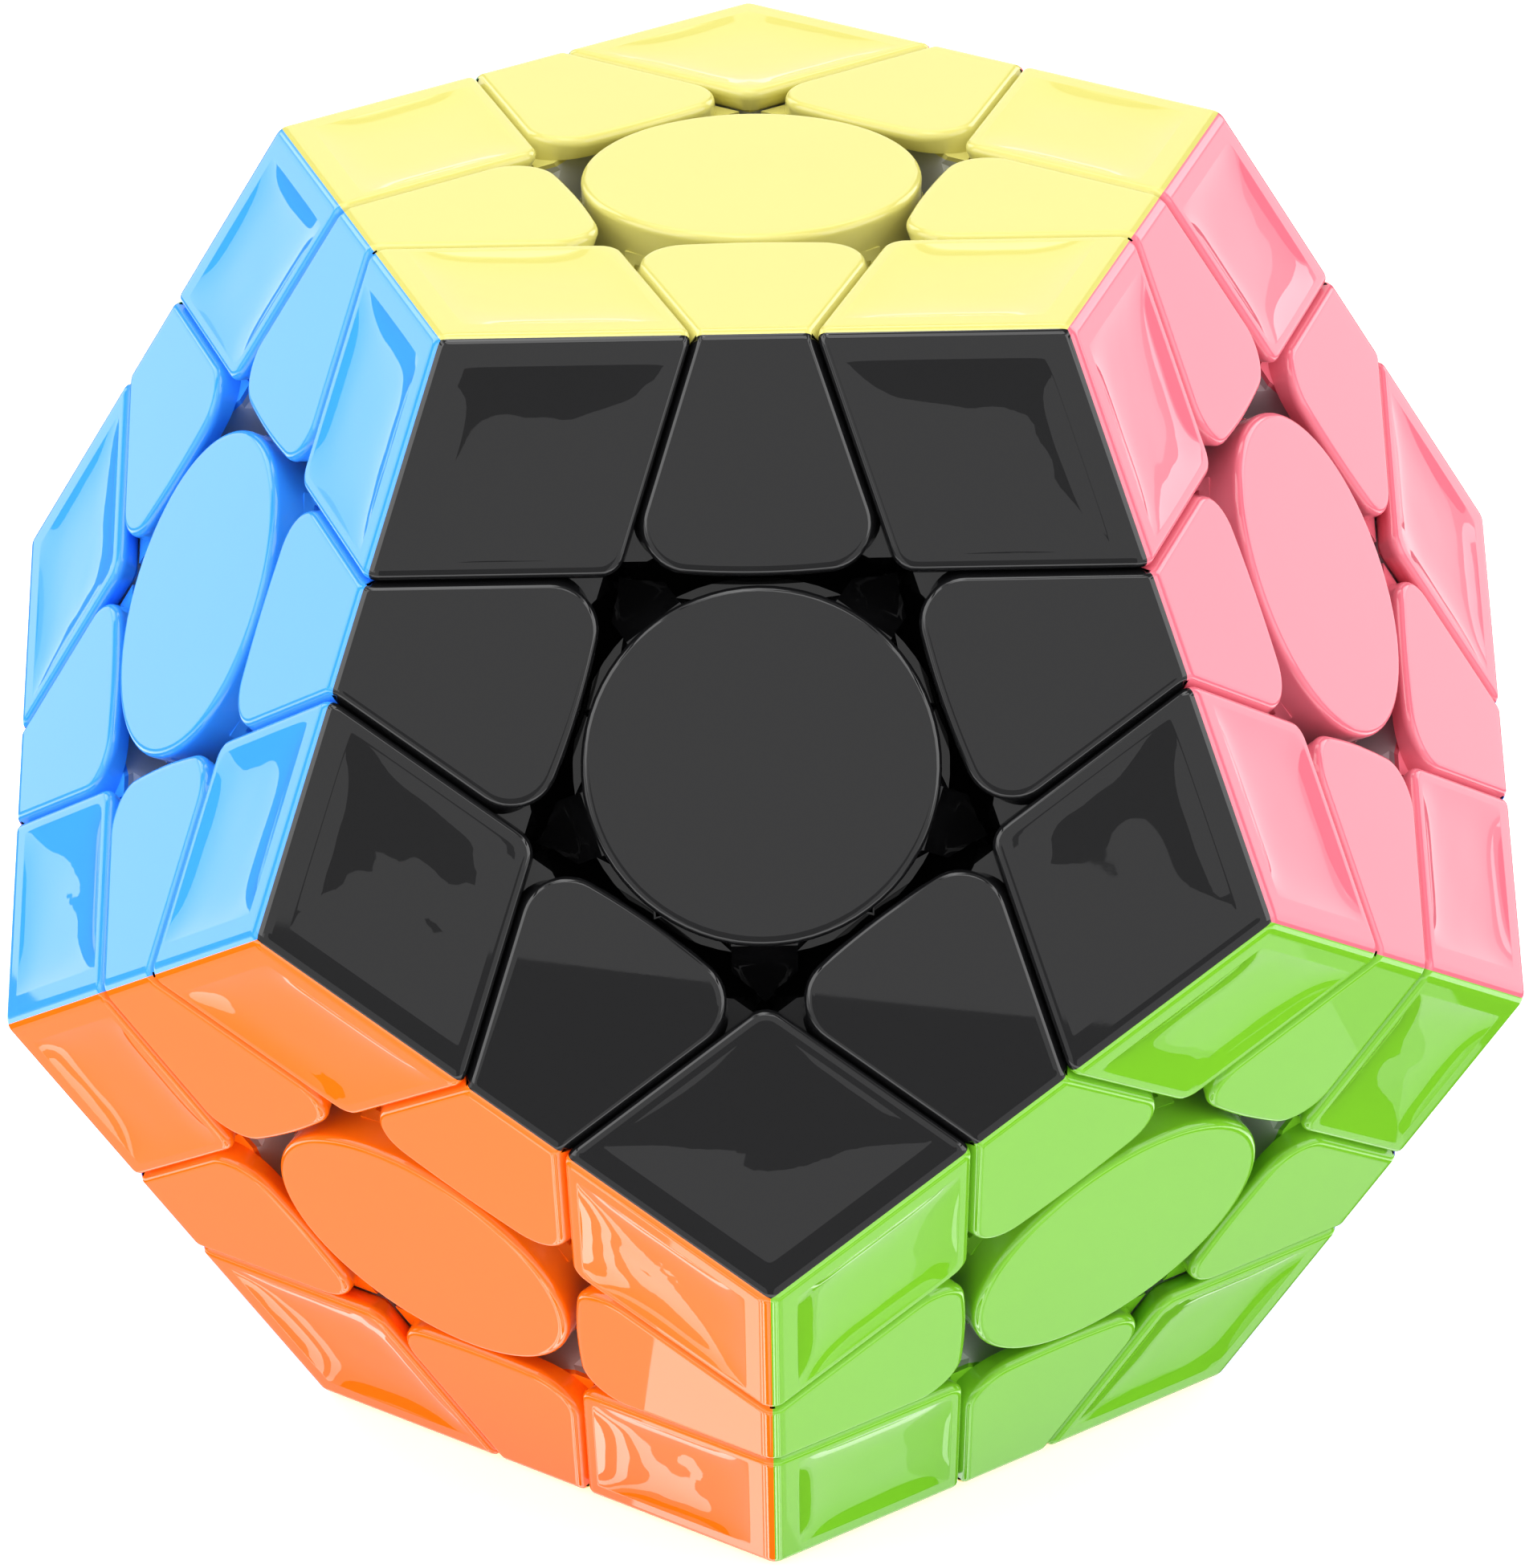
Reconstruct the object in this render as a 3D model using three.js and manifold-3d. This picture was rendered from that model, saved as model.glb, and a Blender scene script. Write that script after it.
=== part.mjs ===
// A twelve-sided twisty puzzle: twelve layers turn about a core, and each outer piece belongs to
// one layer (a centre), two layers (an edge) or three layers (a corner).
// Millimetres, +Z up. The puzzle stands on its yellow face, whose middle is the origin.
import * as THREE from "three";
import { mergeVertices } from "three/addons/utils/BufferGeometryUtils.js";
import Module from "manifold-3d";

// Outer shape.
const EDGE = 30; // edge of the dodecahedron
const CORNER_TILE = 12.33; // side of a corner's tile, along that edge
const EDGE_CHAMFER = 0.45; // chamfer on each face along the dodecahedron's edges
const TIP_ROUND = 1.1; // rounding of a corner tile's inner tip
const PETAL_ROUND = 2.3; // rounding of an edge tile's two inner corners
const TILE_DEPTH = 3.2; // depth below the face to which those roundings reach

// Centre piece.
const CAP_RADIUS = 8.6;
const CAP_BEVEL = 0.4;
const CAP_WALL = 1.6; // straight wall below the cap's bevel
const SKIRT_DEPTH = 4.2; // depth at which the skirt has flared out to the star
const SKIRT_RADIUS = 12;

// Inner mechanism. A layer's pieces stay inside a surface of revolution about its axis: a flat
// cut outside, then a neck cone, then a wider foot cone that hooks under the neighbours.
const GAP = 0.36; // clearance between neighbouring pieces
const FOOT_ANGLE = THREE.MathUtils.degToRad(52); // half-angle of the foot cone
const FOOT_TOP = 26; // distance from the middle at which foot changes to neck
const FOOT_BOTTOM = 20;
const BALL_RADIUS = 19.4; // core ball
const ARM_RADIUS = 2.3;
const ARM_END = 28; // distance of an arm's end from the middle
const BORE_CLEARANCE = 0.35; // between an arm and the bore it stands in
const LINK_RADIUS = 1.5; // pin that joins a yellow corner to the edge it never leaves

const LAYER_SIDES = 20; // a multiple of five, so that every fifth of a turn looks the same
const CAP_SIDES = 24;
const ARM_SIDES = 10;
const ROUND_STEPS = 2;
const TOLERANCE = 0.02; // within which slivers left by the cuts are cleared away
const REACH = 60; // beyond every piece

const RING_TILT = Math.atan(0.5); // how far the side faces lean from the vertical
const INRADIUS = (EDGE * Math.sqrt(250 + 110 * Math.sqrt(5))) / 20;
const MIDRADIUS = (EDGE * (3 + Math.sqrt(5))) / 4;
const APOTHEM = EDGE / (2 * Math.tan(Math.PI / 5));
const FACE_ANGLE = Math.atan(2); // between two neighbouring faces' axes
const TILE_HEIGHT = CORNER_TILE * Math.sin((2 * Math.PI) / 5);
const CUT = INRADIUS - Math.sin(FACE_ANGLE) * TILE_HEIGHT; // of the flat cut from the middle
const NECK_ANGLE = Math.acos(CUT / INRADIUS);
const CUT_LINE = APOTHEM - TILE_HEIGHT; // of a cut from the middle of the face it crosses
const HALF_GAP = GAP / 2;

// Every face: colour name, azimuth and tilt of its axis in degrees, and its plastic's colour.
// A piece's name lists its faces in this order.
const SIDE = THREE.MathUtils.radToDeg(RING_TILT);
const FACES = [
  ["cream", 0, 90, 0xf6f0a0],
  ["black", -90, SIDE, 0x2b2b2d],
  ["sky", -162, SIDE, 0x4fb4fb],
  ["pink", -18, SIDE, 0xfb95ac],
  ["red", 54, SIDE, 0xd8242f],
  ["green", 126, SIDE, 0x0b7d3c],
  ["orange", -126, -SIDE, 0xff7a1f],
  ["lime", -54, -SIDE, 0x84d83c],
  ["blue", 18, -SIDE, 0x1746b8],
  ["white", 90, -SIDE, 0xf2f2f0],
  ["purple", 162, -SIDE, 0x6c35a8],
  ["yellow", 0, -90, 0xf7d21a],
].map(([name, azimuth, tilt, colour]) => ({
  name,
  colour,
  axis: new THREE.Vector3().setFromSphericalCoords(
    1,
    THREE.MathUtils.degToRad(90 - tilt),
    THREE.MathUtils.degToRad(azimuth + 90),
  ).applyAxisAngle(new THREE.Vector3(1, 0, 0), Math.PI / 2),
}));

// Pieces that share one mesh with another, because they never move apart: the yellow layer is the
// one the puzzle stands on.
const LINKED = [
  ["blue", "white"],
  ["white", "purple"],
];

const wasm = await Module();
wasm.setup();

// A closed three.js geometry as a manifold solid.
function solidOf(geometry) {
  const bare = new THREE.BufferGeometry();
  bare.setAttribute("position", geometry.getAttribute("position"));
  if (geometry.index) bare.setIndex(geometry.index);
  const merged = mergeVertices(bare, 1e-4);
  const triVerts = [];
  for (let i = 0; i < merged.index.count; i += 3) {
    const corners = [0, 1, 2].map((k) => merged.index.getX(i + k));
    if (new Set(corners).size === 3) triVerts.push(...corners);
  }
  return new wasm.Manifold(
    new wasm.Mesh({
      numProp: 3,
      vertProperties: merged.attributes.position.array,
      triVerts: new Uint32Array(triVerts),
    }),
  );
}

// A solid of revolution about +Z from [radius, height] pairs, both ends on the axis.
function latheSolid(profile, sides) {
  const points = profile.map(([radius, height]) => new THREE.Vector2(radius, height));
  const geometry = new THREE.LatheGeometry(points, sides);
  geometry.rotateX(Math.PI / 2);
  return solidOf(geometry);
}

// The frame of a face: +Z along its axis, +X towards the neighbour given.
function frameOf(face, neighbour) {
  const z = face.axis;
  const x = inFace(face, neighbour);
  const y = new THREE.Vector3().crossVectors(z, x);
  return new THREE.Matrix4().makeBasis(x, y, z);
}

// The unit vector in a face's plane that points at its shared edge with a neighbour.
function inFace(face, neighbour) {
  const along = face.axis.dot(neighbour.axis);
  return neighbour.axis.clone().addScaledVector(face.axis, -along).normalize();
}

function placed(solid, matrix) {
  return solid.transform([...matrix.elements]);
}

function areNeighbours(a, b) {
  return a !== b && a.axis.dot(b.axis) > 0.4;
}

function neighboursOf(face) {
  return FACES.filter((other) => areNeighbours(face, other));
}

// Profile of a layer's boundary, moved into the layer by inset (or out of it, if negative).
// stretch makes up for the lathe's flats on a solid that is cut away.
function layerProfile(inset, stretch) {
  const step = FOOT_TOP - inset;
  const cut = CUT + inset;
  const onCone = (angle, distance) => [
    stretch * (distance * Math.sin(angle) - inset * Math.cos(angle)),
    distance * Math.cos(angle) + inset * Math.sin(angle),
  ];
  return [
    [0, inset / Math.sin(FOOT_ANGLE)],
    onCone(FOOT_ANGLE, step),
    onCone(NECK_ANGLE, step),
    [stretch * (cut * Math.tan(NECK_ANGLE) - inset / Math.cos(NECK_ANGLE)), cut],
    [REACH, cut],
    [REACH, REACH],
    [0, REACH],
  ];
}

const LAYER = latheSolid(layerProfile(HALF_GAP, 1), LAYER_SIDES);
const LAYER_SWEEP = latheSolid(
  layerProfile(-HALF_GAP, 1 / Math.cos(Math.PI / LAYER_SIDES)),
  LAYER_SIDES,
);

function layerOf(face, solid) {
  return placed(solid, frameOf(face, neighboursOf(face)[0]));
}

// The wedge that rounds the corner between two lines of a tile. Each line is given by the
// neighbour it runs parallel to and the side of the cut, +1 or -1, on which the tile lies.
function roundingWedge(face, [faceA, sideA], [faceB, sideB], radius) {
  const frame = frameOf(face, faceA);
  const toFrame = frame.clone().invert();
  const flat = (neighbour) => {
    const v = inFace(face, neighbour).applyMatrix4(toFrame);
    return new THREE.Vector2(v.x, v.y);
  };
  const lines = [
    [flat(faceA), sideA],
    [flat(faceB), sideB],
  ];
  const gapInFace = HALF_GAP / Math.sin(FACE_ANGLE);
  const meet = (shift) => {
    const [[u, a], [v, b]] = lines;
    const p = CUT_LINE + a * (gapInFace + shift);
    const q = CUT_LINE + b * (gapInFace + shift);
    const det = u.x * v.y - u.y * v.x;
    return new THREE.Vector2((p * v.y - q * u.y) / det, (q * u.x - p * v.x) / det);
  };
  const middle = meet(radius);
  const outside = meet(-0.5);
  const [from, to] = lines.map(([u, side]) => u.clone().multiplyScalar(-side));
  const turn = Math.atan2(from.cross(to), from.dot(to));
  const outline = [outside];
  for (let i = 0; i <= ROUND_STEPS; i++) {
    const arm = from.clone().rotateAround(new THREE.Vector2(), (turn * i) / ROUND_STEPS);
    outline.push(middle.clone().addScaledVector(arm, radius));
  }
  const geometry = new THREE.ExtrudeGeometry(new THREE.Shape(outline), {
    depth: TILE_DEPTH + 1,
    bevelEnabled: false,
  });
  geometry.translate(0, 0, INRADIUS - TILE_DEPTH);
  return placed(solidOf(geometry), frame);
}

// What is left of a solid on the inner side of a plane across the given direction.
function trimOuter(solid, direction, distance) {
  return solid.trimByPlane([-direction.x, -direction.y, -direction.z], -distance);
}

// An edge or corner: inside the layers of its own faces and outside those of the others.
function outerPiece(own, others) {
  const axis = new THREE.Vector3();
  own.forEach((face) => axis.add(face.axis));
  axis.normalize();
  let body = layerOf(own[0], LAYER);
  for (const face of own.slice(1)) body = body.intersect(layerOf(face, LAYER));
  for (const face of others) body = body.subtract(layerOf(face, LAYER_SWEEP));
  for (const face of [...own, ...others]) body = trimOuter(body, face.axis, INRADIUS);
  for (let i = 0; i < own.length; i++) {
    for (let j = i + 1; j < own.length; j++) {
      const bisector = own[i].axis.clone().add(own[j].axis).normalize();
      const depth = EDGE_CHAMFER * Math.sin(FACE_ANGLE / 2);
      body = trimOuter(body, bisector, MIDRADIUS - depth);
    }
  }
  return body.trimByPlane([axis.x, axis.y, axis.z], FOOT_BOTTOM);
}

function cornerSolid(own) {
  let body = outerPiece(own, []);
  for (const face of own) {
    const [a, b] = own.filter((other) => other !== face);
    body = body.subtract(roundingWedge(face, [a, 1], [b, 1], TIP_ROUND));
  }
  return body;
}

function edgeSolid(own) {
  const ends = FACES.filter((face) => own.every((other) => areNeighbours(face, other)));
  let body = outerPiece(own, ends);
  for (const face of own) {
    const across = own.find((other) => other !== face);
    for (const end of ends) {
      body = body.subtract(roundingWedge(face, [across, 1], [end, -1], PETAL_ROUND));
    }
  }
  return body;
}

// A round rod from the origin along +Z.
function rod(radius, length) {
  return latheSolid([[0, 0], [radius, 0], [radius, length], [0, length]], ARM_SIDES);
}

// A centre: a round cap whose wall flares into a star between the neighbouring layers. With a
// bore it turns on the core's arm.
function centreSolid(face, withBore) {
  let envelope = latheSolid([
    [0, FOOT_BOTTOM],
    [SKIRT_RADIUS, FOOT_BOTTOM],
    [SKIRT_RADIUS, INRADIUS - SKIRT_DEPTH],
    [CAP_RADIUS, INRADIUS - CAP_BEVEL - CAP_WALL],
    [CAP_RADIUS, INRADIUS - CAP_BEVEL],
    [CAP_RADIUS - CAP_BEVEL, INRADIUS],
    [0, INRADIUS],
  ], CAP_SIDES);
  if (withBore) envelope = envelope.subtract(rod(ARM_RADIUS + BORE_CLEARANCE, ARM_END + BORE_CLEARANCE));
  const around = neighboursOf(face);
  let body = placed(envelope, frameOf(face, around[0]));
  for (const other of around) body = body.subtract(layerOf(other, LAYER_SWEEP));
  return body;
}

// The core: a ball with an arm for every face.
function coreSolid() {
  let body = solidOf(new THREE.IcosahedronGeometry(BALL_RADIUS, 2));
  for (const face of FACES) {
    body = body.add(placed(rod(ARM_RADIUS, ARM_END), frameOf(face, neighboursOf(face)[0])));
  }
  return body;
}

// A short pin across the flat cut of a layer, between a corner and the edge below it.
function linkSolid(layerFace, edgeFaces) {
  const towards = edgeFaces[0].axis.clone().add(edgeFaces[1].axis).normalize();
  const side = inFace(layerFace, { axis: towards });
  const middle = layerFace.axis
    .clone()
    .multiplyScalar(Math.cos(NECK_ANGLE))
    .addScaledVector(side, Math.sin(NECK_ANGLE))
    .multiplyScalar((FOOT_TOP + INRADIUS) / 2);
  const across = layerFace.axis
    .clone()
    .multiplyScalar(Math.sin(NECK_ANGLE))
    .addScaledVector(side, -Math.cos(NECK_ANGLE));
  const pin = new THREE.CylinderGeometry(LINK_RADIUS, LINK_RADIUS, 8 * HALF_GAP, 8);
  const turn = new THREE.Quaternion().setFromUnitVectors(new THREE.Vector3(0, 1, 0), across);
  const matrix = new THREE.Matrix4().compose(middle, turn, new THREE.Vector3(1, 1, 1));
  return placed(solidOf(pin), matrix);
}

// The rotation that carries one ordered set of faces onto another of the same kind.
function carry(from, to) {
  return frameOf(to[0], to[1]).multiply(frameOf(from[0], from[1]).invert());
}

// The faces of an edge or corner, in an order that goes round it the same way every time.
function wound(faces) {
  if (faces.length < 3) return faces;
  const [a, b, c] = faces;
  const volume = new THREE.Vector3().crossVectors(a.axis, b.axis).dot(c.axis);
  return volume > 0 ? faces : [a, c, b];
}

function geometryOf(solid) {
  const mesh = solid.getMesh();
  const geometry = new THREE.BufferGeometry();
  const positions = new Float32Array(mesh.numVert * 3);
  for (let i = 0; i < mesh.numVert; i++) {
    const at = i * mesh.numProp;
    positions.set(mesh.vertProperties.subarray(at, at + 3), i * 3);
  }
  geometry.setAttribute("position", new THREE.BufferAttribute(positions, 3));
  geometry.setIndex(new THREE.BufferAttribute(mesh.triVerts, 1));
  return geometry;
}

const puzzle = new THREE.Group();
puzzle.name = "twelve_sided_twisty_puzzle";
puzzle.position.z = INRADIUS;

function addPiece(name, solid, colour) {
  const material = new THREE.MeshStandardMaterial({ color: colour, roughness: 0.25, metalness: 0 });
  const mesh = new THREE.Mesh(geometryOf(solid), material);
  mesh.name = name;
  puzzle.add(mesh);
}

const CREAM = FACES[0];
const YELLOW = FACES[FACES.length - 1];
const EDGES = [];
const CORNERS = [];
FACES.forEach((a, i) => {
  for (const b of FACES.slice(i + 1).filter((face) => areNeighbours(a, face))) {
    EDGES.push([a, b]);
    for (const c of FACES.slice(FACES.indexOf(b) + 1)) {
      if (areNeighbours(a, c) && areNeighbours(b, c)) CORNERS.push([a, b, c]);
    }
  }
});

const centrePattern = centreSolid(CREAM, true).simplify(TOLERANCE);
const edgePattern = edgeSolid(EDGES[0]).simplify(TOLERANCE);
const cornerPattern = cornerSolid(wound(CORNERS[0])).simplify(TOLERANCE);

function nameOf(kind, faces) {
  return [kind, ...faces.map((face) => face.name)].join("_");
}

function cornerAt(faces) {
  return placed(cornerPattern, carry(wound(CORNERS[0]), wound(faces)));
}

function isLinked(faces) {
  return LINKED.some((pair) => pair.every((name) => faces.some((face) => face.name === name)));
}

addPiece("core_with_centre_yellow", coreSolid().add(centreSolid(YELLOW, false)), YELLOW.colour);
for (const face of FACES) {
  if (face === YELLOW) continue;
  const matrix = carry([CREAM, neighboursOf(CREAM)[0]], [face, neighboursOf(face)[0]]);
  addPiece(nameOf("centre", [face]), placed(centrePattern, matrix), face.colour);
}
for (const faces of EDGES) {
  let body = placed(edgePattern, carry(EDGES[0], faces));
  let name = nameOf("edge", faces);
  if (isLinked(faces)) {
    body = body.add(linkSolid(YELLOW, faces)).add(cornerAt([...faces, YELLOW]));
    name += "_with_corner_yellow";
  }
  addPiece(name, body, faces[0].colour);
}
for (const faces of CORNERS) {
  if (faces.includes(YELLOW) && isLinked(faces)) continue;
  addPiece(nameOf("corner", faces), cornerAt(faces), faces[0].colour);
}

export default puzzle;
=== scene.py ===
"""Looks of the twelve-sided twisty puzzle.

Every edge and corner gets thin coloured tiles with rounded rims and an inner foot below them, and
every centre a cap with a five-armed skirt, a screw and a spring. Shapes are worked out in
millimetres about the puzzle's middle, and placed in metres in the row frame.
"""
import math
from itertools import combinations

import bmesh
import bpy
import numpy as np
from mathutils import Matrix, Vector


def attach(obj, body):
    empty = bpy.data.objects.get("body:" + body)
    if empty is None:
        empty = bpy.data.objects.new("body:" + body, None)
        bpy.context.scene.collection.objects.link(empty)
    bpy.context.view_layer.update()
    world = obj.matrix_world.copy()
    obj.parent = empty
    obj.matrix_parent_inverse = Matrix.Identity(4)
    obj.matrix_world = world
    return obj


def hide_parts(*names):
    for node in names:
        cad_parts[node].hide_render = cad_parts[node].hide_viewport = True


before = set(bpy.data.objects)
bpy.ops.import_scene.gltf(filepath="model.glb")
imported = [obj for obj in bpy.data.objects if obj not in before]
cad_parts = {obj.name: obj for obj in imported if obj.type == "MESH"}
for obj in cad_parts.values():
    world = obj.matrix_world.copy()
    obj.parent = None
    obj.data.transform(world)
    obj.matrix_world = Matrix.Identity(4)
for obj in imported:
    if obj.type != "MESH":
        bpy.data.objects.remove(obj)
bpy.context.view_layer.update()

MM = 0.001

# Outer shape, as in the CAD model.
EDGE = 30.0
CORNER_TILE = 12.33
FACE_ANGLE = math.atan(2)  # between two neighbouring faces' axes
INRADIUS = EDGE * math.sqrt(250 + 110 * math.sqrt(5)) / 20
APOTHEM = EDGE / (2 * math.tan(math.pi / 5))
PIE = 2 * math.pi / 5  # between two neighbouring sides of a face
TILE_HEIGHT = CORNER_TILE * math.sin(PIE)
CUT = INRADIUS - math.sin(FACE_ANGLE) * TILE_HEIGHT  # flat cut of a layer, from the middle
CUT_LINE = APOTHEM - TILE_HEIGHT  # the same cut, from the middle of the face it crosses
NECK_ANGLE = math.acos(CUT / INRADIUS)
FOOT_ANGLE = math.radians(52)
FOOT_TOP = 26.0
FOOT_BOTTOM = 20.0

# Tiles.
EDGE_ROUND = 1.05  # radius along the dodecahedron's edges
RIM = 0.4  # radius round the rest of a tile's outline
SHELL = 1.2  # depth of a tile
SUPPORT = 0.1  # width of the ring that keeps a flat flat up to its rim
CREASE = 0.05  # half-width of the turn from a corner tile's frame into its dish
FRAME_LINE = 0.28  # from the rim to a grid line that keeps the frame flat
DISH_LINES = 22
CORNER_INSET = 0.2  # from the cut line to a corner tile's outline
TIP_ROUND = 1.1
TIP_FADE = 5.0  # distance over which a tip's rounding fades towards the tile's middle
DISH_FRAME = 0.75  # flat frame of a corner tile, beside the cuts
DISH_BORDER = 1.5  # the same, beside the dodecahedron's edges
DISH_DEPTH = 0.36
DISH_WAVE = 0.015  # height of the slow waves in a dish
PETAL_INSET = 0.15  # from the cut line to an edge tile's outline
PETAL_END = 9.04  # edge tile's inner end, from the middle of the face
PETAL_BOW = 40.0  # radius of that end
PETAL_ROUND = 2.3
WALL_SLOPE = 0.5  # sideways per depth of a cut
ROUND_STEPS = 5
RIM_STEPS = 6
PETAL_ARC_STEPS = 12
PETAL_BOW_STEPS = 5
WELD = 2e-4  # points closer than this are one

# Centres.
CAP_RADIUS = 8.6
CAP_RIM = 0.4
CAP_WALL = 1.7  # depth at which the arms leave the wall
CAP_RIM_STEPS = 6
ARM_HALF_WIDTH = 1.6
ARM_DROP = 2.4
ARM_LENGTH = 3.3
ARM_STEPS = 14
ARM_LEAST_REACH = CAP_RADIUS - 1.5
ARM_HALVINGS = 20  # of the search for an arm's reach
WEB_STEPS = 10  # round the wall between two arms
SLOT_HALF_WIDTH = 0.95
SLOT_DEPTH = 0.5
SLOT_LEVELS = (2.35, 2.95)  # depths between which an arm has its slot
SKIRT_LEVELS = (5.0, 6.0, 7.0)  # depths of the skirt's rows below the arms' curve
SKIRT_END = SKIRT_LEVELS[-1]
HUB_RADIUS = 3.8
HUB_END = 11.6
CHAMBER_RADIUS = 3.0
CHAMBER_TOP = 2.4
SHELF = 9.6
BORE_RADIUS = 1.25
MECHANISM_GAP = 0.3  # between pieces below the tiles
WALL_GAP = 0.36  # between a centre's wall and the edges' necks
FOOT_INSET = 0.3  # of a foot's sides from the cuts
WALL_DEPTH = 1.5  # down to which a foot has the tiles' colours
BLACK_SHADE_DEPTH = 9.0  # down to which a foot is painted black below black tiles: painted shade in the black face's holes
EDGE_TRACK = 11.2  # radius about a face's axis that the edges' feet leave free
CORNER_TRACK = 11.8  # the same for the corners' feet
TRACK_DEPTH = 6.0
TRACK_SLOPE = 2.0  # by which a track narrows and deepens towards its bottom
REACH = 60.0  # beyond every piece

# Numbers of sides of the solids that shape a foot. They all differ, so that no two surfaces share
# their seams.
OWN_LAYER_SIDES = (90, 84, 78)
END_LAYER_SIDES = (76, 70)
TRACK_SIDES = (66, 58, 50)
BALL_SIDES = 64
BALL_RINGS = 32
SMALL_SIDES = 24  # of screws and of the core's arms

SHARP = math.radians(35)  # edges sharper than this keep a crease
FOOT_SHARP = math.radians(25)
COPLANAR = math.radians(1)  # faces that lean less than this against each other are one

# Core, screws and springs; heights are distances from the middle.
BALL_RADIUS = 17.0
ARM_RADIUS = 2.3
ARM_START = 5.0
ARM_END = 21.5
SCREW_RADIUS = 1.0
SCREW_FOOT = 17.5
SCREW_HEAD_RADIUS = 2.2
SCREW_HEAD_BOTTOM = 29.0
SCREW_HEAD_TOP = 30.6
SCREW_DOME = 0.7
SCREW_DOME_STEPS = 6
SPRING_RADIUS = 1.75
SPRING_WIRE = 0.3
SPRING_TURNS = 6
SPRING_STEPS = 24  # to a turn
SPRING_SIDES = 8

RING_TILT = math.degrees(math.atan(0.5))

# Every face: azimuth and tilt of its axis in degrees, and its plastic's colour (linear).
# A piece's name lists its faces in this order.
FACES = {
    "cream": (0, 90, (0.66, 0.61, 0.165)),
    "black": (-90, RING_TILT, (0.006, 0.006, 0.0065)),
    "sky": (-162, RING_TILT, (0.04, 0.32, 1.0)),
    "pink": (-18, RING_TILT, (0.74, 0.148, 0.205)),
    "red": (54, RING_TILT, (0.62, 0.015, 0.02)),
    "green": (126, RING_TILT, (0.005, 0.22, 0.05)),
    "orange": (-126, -RING_TILT, (1.0, 0.165, 0.004)),
    "lime": (-54, -RING_TILT, (0.165, 0.46, 0.018)),
    "blue": (18, -RING_TILT, (0.008, 0.06, 0.46)),
    "white": (90, -RING_TILT, (0.62, 0.62, 0.61)),
    "purple": (162, -RING_TILT, (0.15, 0.03, 0.38)),
    "yellow": (0, -90, (0.9, 0.62, 0.01)),
}

# CAD nodes that hold more than one piece.
MERGED = {
    ("yellow",): "core_with_centre_yellow",
    ("blue", "white"): "edge_blue_white_with_corner_yellow",
    ("blue", "white", "yellow"): "edge_blue_white_with_corner_yellow",
    ("white", "purple"): "edge_white_purple_with_corner_yellow",
    ("white", "purple", "yellow"): "edge_white_purple_with_corner_yellow",
}


# ---------------------------------------------------------------- vectors and names

def unit(vector):
    return vector / np.linalg.norm(vector)


def axis_of(name):
    azimuth, tilt = (math.radians(angle) for angle in FACES[name][:2])
    return np.array([
        math.cos(tilt) * math.cos(azimuth),
        math.cos(tilt) * math.sin(azimuth),
        math.sin(tilt),
    ])


AXIS = {name: axis_of(name) for name in FACES}


def toward(axis, other):
    """The unit vector in a face's plane that points at its shared edge with a neighbour."""
    return unit(other - axis.dot(other) * axis)


def frame_of(axis, other):
    x = toward(axis, other)
    return np.column_stack([x, np.cross(axis, x), axis])


def are_neighbours(a, b):
    return a != b and AXIS[a].dot(AXIS[b]) > 0


def neighbours_of(*faces):
    return [name for name in FACES if all(are_neighbours(name, face) for face in faces)]


EDGES = [pair for pair in combinations(FACES, 2) if are_neighbours(*pair)]
CORNERS = [
    trio for trio in combinations(FACES, 3)
    if all(are_neighbours(*pair) for pair in combinations(trio, 2))
]


def wound(faces):
    """The faces of a piece in an order that goes round it the same way every time."""
    if len(faces) < 3:
        return faces
    a, b, c = faces
    volume = np.cross(AXIS[a], AXIS[b]).dot(AXIS[c])
    return (a, b, c) if volume > 0 else (a, c, b)


def carry(source, target):
    """The turn that takes one piece's faces onto another's."""
    return frame_of(*target) @ frame_of(*source).T


def body_of(faces):
    """The yellow layer never turns, so its pieces ride with the piece they are tied to."""
    moving = [name for name in faces if name != "yellow"]
    if not moving:
        return "core"
    return "_".join([("centre", "edge", "corner")[len(moving) - 1], *moving])


def node_of(faces):
    kind = ("centre", "edge", "corner")[len(faces) - 1]
    return MERGED.get(tuple(faces), "_".join([kind, *faces]))


# ---------------------------------------------------------------- mesh building

class Builder:
    """Collects sheets of quads and polygons; shared borders are welded at the end."""

    def __init__(self):
        self.mesh = bmesh.new()

    def polygon(self, points, paint=0):
        face = self.mesh.faces.new([self.mesh.verts.new(point) for point in points])
        face.material_index = paint

    def sheet(self, rows, paint=0):
        verts = [[self.mesh.verts.new(point) for point in row] for row in rows]
        for low, high in zip(verts, verts[1:]):
            for k in range(len(low) - 1):
                face = self.mesh.faces.new([low[k], low[k + 1], high[k + 1], high[k]])
                face.material_index = paint

    def finish(self, name):
        bmesh.ops.remove_doubles(self.mesh, verts=self.mesh.verts, dist=WELD)
        bmesh.ops.dissolve_degenerate(self.mesh, edges=self.mesh.edges, dist=WELD)
        bmesh.ops.recalc_face_normals(self.mesh, faces=self.mesh.faces)
        data = bpy.data.meshes.new(name)
        self.mesh.to_mesh(data)
        self.mesh.free()
        shade(data, SHARP)
        return data


def shade(data, sharp):
    data.polygons.foreach_set("use_smooth", [True] * len(data.polygons))
    data.set_sharp_from_angle(angle=sharp)


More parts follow.
